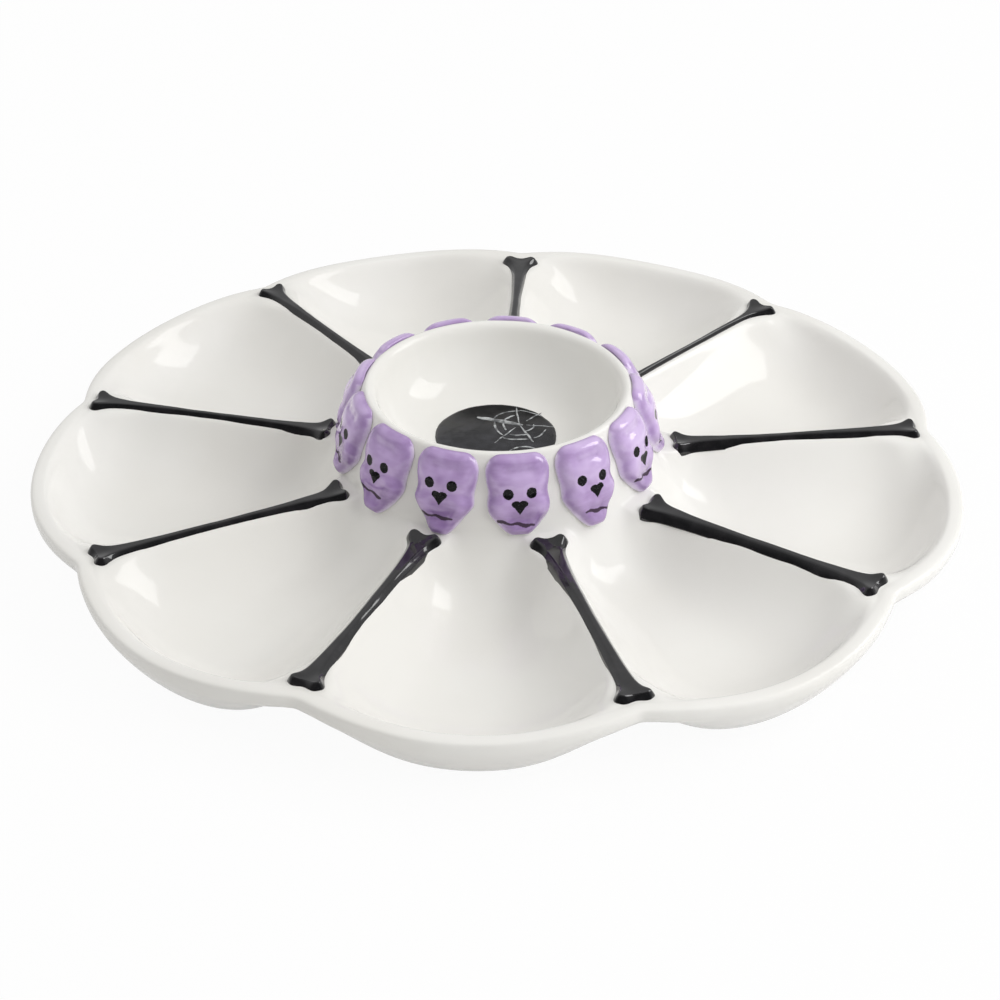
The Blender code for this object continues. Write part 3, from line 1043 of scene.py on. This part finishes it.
# %% Black glaze of the bones
black = Finish("brushed black glaze")
place = black.place()
streak = black.cloud(place, 220.0)
tone = black.blend(
    black.between(streak, 0.35, 0.75), (0.005, 0.005, 0.006, 1), (0.014, 0.013, 0.015, 1)
)
black.bump(black.cloud(place, 180.0), 0.25, 0.0004)
black.glaze_over(0.05)
black.shader.inputs["Coat IOR"].default_value = 1.7
black.shader.inputs["Specular IOR Level"].default_value = 0.15
put_on(black.finish(tone, black.between(streak, 0.3, 0.7, 0.10, 0.24)), *bones)
print("black glaze on", len(bones), "bones")

# %% Lilac of the skulls
lilac = Finish("brushed lilac glaze")
brush = lilac.stored("brush").outputs["Vector"]
stretched = lilac.node("ShaderNodeVectorMath", Vector=brush)
stretched.operation = "MULTIPLY"
stretched.inputs[1].default_value = (0.15, 0.52, 0.3)
streaks = lilac.cloud(stretched.outputs["Vector"], 1.0, 4.0)
blotches = lilac.cloud(brush, 0.13, 2.0)
dense = lilac.blend(
    lilac.between(blotches, 0.30, 0.70), (0.205, 0.105, 0.306, 1), (0.385, 0.234, 0.540, 1)
)
pale = lilac.blend(
    lilac.between(blotches, 0.30, 0.70), (0.585, 0.418, 0.745, 1), (0.730, 0.580, 0.870, 1)
)
# How pale each skull is: its own wash of paint, with painted light that makes the brows and the
# skulls towards the light paler.
colour = lilac.blend(lilac.stored("wash_and_light").outputs["Fac"], dense, pale)
watery = lilac.between(streaks, 0.35, 0.75, 0.0, 0.34)
colour = lilac.blend(watery, colour, (0.660, 0.505, 0.820, 1))
coat = lilac.stored("coat").outputs["Fac"]
ragged = lilac.sum(coat, lilac.sum(lilac.cloud(brush, 0.9), 0.8, "MULTIPLY"))
# A darker band along the skulls' sides, between foot and face, is painted shade where the relief
# turns away from the light.
foot_side = lilac.between(ragged, 2.0, 3.2, 0.0, 0.32)
face_side = lilac.between(ragged, 3.4, 4.9, 1.0, 0.0)
darkening = lilac.sum(foot_side, face_side, "MULTIPLY")
colour = lilac.blend(darkening, colour, (0.170, 0.085, 0.260, 1))
# The lower sides and edges are paler: partly the glaze thinning there so that the clay shows
# through, partly a painted reflection of the white bowl.
thin = lilac.between(ragged, 1.1, 2.9, 0.90, 0.0)
colour = lilac.blend(thin, colour, (0.770, 0.690, 0.855, 1))
colour = lilac.blend(lilac.between(ragged, 0.55, 0.95), (0.80, 0.786, 0.745, 1), colour)
print("brushed lilac mixed")

# %% Painted faces and the clear coat over them
edge_noise = lilac.sum(lilac.cloud(brush, 1.6), 0.5, "MULTIPLY")
ink = lilac.sum(lilac.stored("marks").outputs["Fac"], edge_noise)
# Lighter specks in the black of the eyes and nose are painted glints on the rough paint.
painted_glints = lilac.between(lilac.cloud(brush, 2.6), 0.56, 0.70)
inked = lilac.blend(painted_glints, (0.004, 0.004, 0.005, 1), (0.070, 0.070, 0.075, 1))
clear = lilac.between(ink, 0.18, 0.34)
colour = lilac.blend(clear, inked, colour)
lilac.shader.inputs["Specular IOR Level"].default_value = 0.18
line = lilac.sum(lilac.stored("mouth").outputs["Fac"], edge_noise)
bare = lilac.between(line, 0.12, 0.40)
colour = lilac.blend(bare, (0.070, 0.046, 0.075, 1), colour)
lilac.bump(lilac.cloud(brush, 0.35), 0.08, 0.0004)
lilac.glaze_over(0.09)
lilac.shader.inputs["Coat IOR"].default_value = 1.65
lilac.feed(lilac.shader, "Coat Weight", lilac.sum(clear, bare, "MULTIPLY"))
put_on(lilac.finish(colour, lilac.between(streaks, 0.3, 0.7, 0.08, 0.16)), *skulls)
print("lilac glaze on", len(skulls), "skulls")

# %% Black and white of the disc
disc_black = Finish("black of the disc")
place = disc_black.place()
worn = disc_black.cloud(place, 240.0)
patches = disc_black.cloud(place, 75.0)
# The black is painted darker towards the back of the well, and its specular level falls there too: a
# painted reflection that leaves the front of the disc lighter.
depth = disc_black.node("ShaderNodeSeparateXYZ", Vector=place).outputs["Y"]
painted_reflection_fade = disc_black.sum(depth, disc_black.sum(patches, 0.02, "MULTIPLY"))
tone = disc_black.blend(
    disc_black.between(worn, 0.35, 0.75), (0.006, 0.006, 0.008, 1), (0.026, 0.026, 0.033, 1)
)
tone = disc_black.blend(disc_black.between(painted_reflection_fade, 0.013, 0.028), tone, (0.003, 0.003, 0.004, 1))
disc_black.feed(
    disc_black.shader, "Specular IOR Level", disc_black.between(painted_reflection_fade, 0.010, 0.028, 0.66, 0.06)
)
disc_black.bump(disc_black.cloud(place, 150.0), 0.15, 0.0003)
put_on(disc_black.finish(tone, disc_black.between(worn, 0.3, 0.7, 0.12, 0.26)), well_disc)

chalk = Finish("brushed white of the cobweb")
place = chalk.place()
thin = chalk.cloud(place, 420.0)
tone = chalk.blend(chalk.between(thin, 0.35, 0.6), (0.12, 0.125, 0.13, 1), (0.52, 0.54, 0.55, 1))
put_on(chalk.finish(tone, chalk.between(thin, 0.3, 0.7, 0.15, 0.30)), cobweb)
print("disc and cobweb painted")

# %% [markdown]
# ## Floor, light and camera
#
# The plate stands on a plain pale floor in a white room. The camera sees the floor almost white, by
# its own light and not by more light on the plate, and the glossy glaze sees it half as bright. A
# soft box high on the right, a little behind the plate, is the window that shines back from the
# scoops, the skulls and the bones. Two larger lamps only soften the shade: they don't show in
# reflections. The camera looks down at about 33 degrees through a long lens.

# %% Floor
# How much of its own light the floor shows to the camera and to the glaze
FLOOR_SEEN = 0.95
FLOOR_MIRRORED = 0.50
put_all_down()
bpy.ops.mesh.primitive_plane_add(size=8, location=(0, 0, -0.0002))
floor = bpy.context.object
floor.name = "floor"
paper = bpy.data.materials.new("white paper")
paper.use_nodes = True
nodes = paper.node_tree.nodes
links = paper.node_tree.links
sheet = nodes["Principled BSDF"]
sheet.inputs["Base Color"].default_value = (0.85, 0.85, 0.85, 1)
sheet.inputs["Roughness"].default_value = 0.9
glow = nodes.new("ShaderNodeEmission")
rays = nodes.new("ShaderNodeLightPath")
seen = nodes.new("ShaderNodeMath")
seen.operation = "MULTIPLY"
seen.inputs[1].default_value = FLOOR_SEEN
links.new(rays.outputs["Is Camera Ray"], seen.inputs[0])
share = nodes.new("ShaderNodeMath")
share.operation = "MULTIPLY_ADD"
share.inputs[1].default_value = FLOOR_MIRRORED
links.new(rays.outputs["Is Glossy Ray"], share.inputs[0])
links.new(seen.outputs[0], share.inputs[2])
mix = nodes.new("ShaderNodeMixShader")
links.new(share.outputs[0], mix.inputs[0])
links.new(sheet.outputs[0], mix.inputs[1])
links.new(glow.outputs[0], mix.inputs[2])
links.new(mix.outputs[0], nodes["Material Output"].inputs["Surface"])
floor.data.materials.append(paper)

print("floor ready")

# %% White room
AMBIENT = 0.55
# What the glaze mirrors of the room: dark behind the viewer, brighter behind the plate
MIRRORED_NEAR = 0.08
MIRRORED_FAR = 0.55
room = bpy.data.worlds.new("white room")
bpy.context.scene.world = room
room.use_nodes = True
nodes = room.node_tree.nodes
links = room.node_tree.links
ambient = nodes["Background"]
ambient.inputs["Color"].default_value = (1.0, 0.99, 0.97, 1)
ambient.inputs["Strength"].default_value = AMBIENT
bright = nodes.new("ShaderNodeBackground")
bright.inputs["Color"].default_value = (1, 1, 1, 1)
dim = nodes.new("ShaderNodeBackground")
compass = nodes.new("ShaderNodeSeparateXYZ")
links.new(nodes.new("ShaderNodeTexCoord").outputs["Generated"], compass.inputs[0])
far_side = nodes.new("ShaderNodeMapRange")
far_side.interpolation_type = "SMOOTHSTEP"
for name, value in (("From Min", -0.55), ("From Max", 0.25)):
    far_side.inputs[name].default_value = value
far_side.inputs["To Min"].default_value = MIRRORED_NEAR
far_side.inputs["To Max"].default_value = MIRRORED_FAR
links.new(compass.outputs["Y"], far_side.inputs["Value"])
links.new(far_side.outputs["Result"], dim.inputs["Strength"])
rays = nodes.new("ShaderNodeLightPath")
mirrored = nodes.new("ShaderNodeMixShader")
links.new(rays.outputs["Is Glossy Ray"], mirrored.inputs[0])
links.new(ambient.outputs[0], mirrored.inputs[1])
links.new(dim.outputs[0], mirrored.inputs[2])
mix = nodes.new("ShaderNodeMixShader")
links.new(rays.outputs["Is Camera Ray"], mix.inputs[0])
links.new(mirrored.outputs[0], mix.inputs[1])
links.new(bright.outputs[0], mix.inputs[2])
links.new(mix.outputs[0], nodes["World Output"].inputs["Surface"])
print("white room ready")


# %% Lamps
def soft_box(name, place, aim, wide, tall, watts):
    """A rectangular lamp that faces a point."""
    put_all_down()
    bpy.ops.object.light_add(type="AREA", location=place)
    lamp = bpy.context.object
    lamp.name = name
    lamp.data.shape = "RECTANGLE"
    lamp.data.size = wide
    lamp.data.size_y = tall
    lamp.data.energy = watts
    lamp.rotation_euler = (Vector(aim) - Vector(place)).to_track_quat("-Z", "Y").to_euler()
    return lamp


# Each lamp's place, aim, width, height and watts
PLATE = (0, 0, 0.02)
key = soft_box("key soft box", (1.05, 0.30, 0.92), PLATE, 0.58, 0.8, 5.2)
fills = [
    soft_box("right fill", (1.03, -0.48, 0.90), PLATE, 0.9, 0.9, 7.5),
    soft_box("left fill", (-0.90, 0.60, 0.95), PLATE, 0.9, 0.9, 3.3),
]
for lamp in fills:
    lamp.visible_glossy = False
print("lamps", key.name, [lamp.name for lamp in fills])

# %% Camera
put_all_down()
bpy.ops.object.camera_add()
camera = bpy.context.object
camera.data.sensor_width = 36.0
camera.data.lens = 91.57
right = Vector((0.998085, 0.061767, 0.003299))
up = Vector((-0.036159, 0.539353, 0.841303))
back = Vector((0.050185, -0.839811, 0.540554))
stand = Matrix((right, up, back)).transposed().to_4x4()
stand.translation = (0.04583, -0.75182, 0.48972)
camera.matrix_world = stand
bpy.context.scene.camera = camera
bpy.context.scene.view_settings.view_transform = "Standard"
print("camera at", [round(value, 4) for value in camera.matrix_world.translation])
